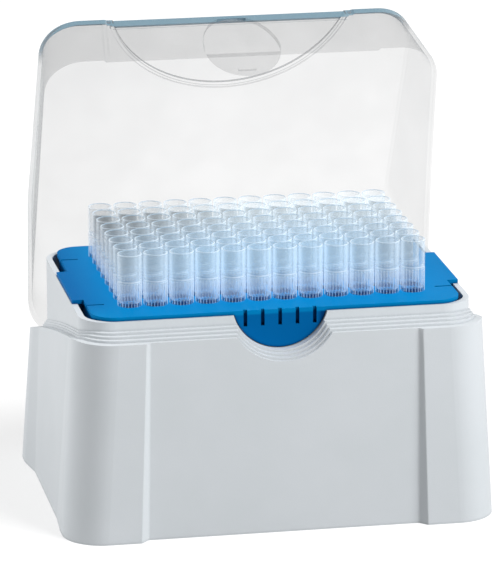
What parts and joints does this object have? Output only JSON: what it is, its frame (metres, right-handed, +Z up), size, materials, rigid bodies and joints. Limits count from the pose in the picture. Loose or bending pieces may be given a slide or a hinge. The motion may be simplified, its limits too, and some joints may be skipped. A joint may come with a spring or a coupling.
{
  "type": "pipette tip box",
  "caption": "Flared laboratory box with a blue perforated tray of clear pipette tips and a hinged clear lid standing open.",
  "frame": {"origin": "middle of the underside, below the middle of the tip grid", "axes": "+Z up, +Y from the notched front to the hinge, +X to the right of someone facing the front"},
  "size_m": [0.1536, 0.1508, 0.1595],
  "materials": {
    "housing_grey": "fine matt moulded",
    "tray_blue": "satin moulded",
    "lid_clear": "clear moulded",
    "tip_clear": "clear moulded"
  },
  "bodies": {
    "box": {"housing": "housing_grey", "floor_plate": "housing_grey", "tray": "tray_blue", "tips_column_01": "tip_clear", "tips_column_02": "tip_clear", "tips_column_03": "tip_clear", "tips_column_04": "tip_clear", "tips_column_05": "tip_clear", "tips_column_06": "tip_clear", "tips_column_07": "tip_clear", "tips_column_08": "tip_clear", "tips_column_09": "tip_clear", "tips_column_10": "tip_clear", "tips_column_11": "tip_clear", "tips_column_12": "tip_clear"},
    "lid": {"lid": "lid_clear"}
  },
  "joints": [
    {"name": "lid_hinge", "type": "hinge", "parent": "box", "child": "lid", "pos_m": [0, 0.0503, 0.0485], "axis": [1, 0, 0], "range_deg": [0, 61.69]}
  ]
}
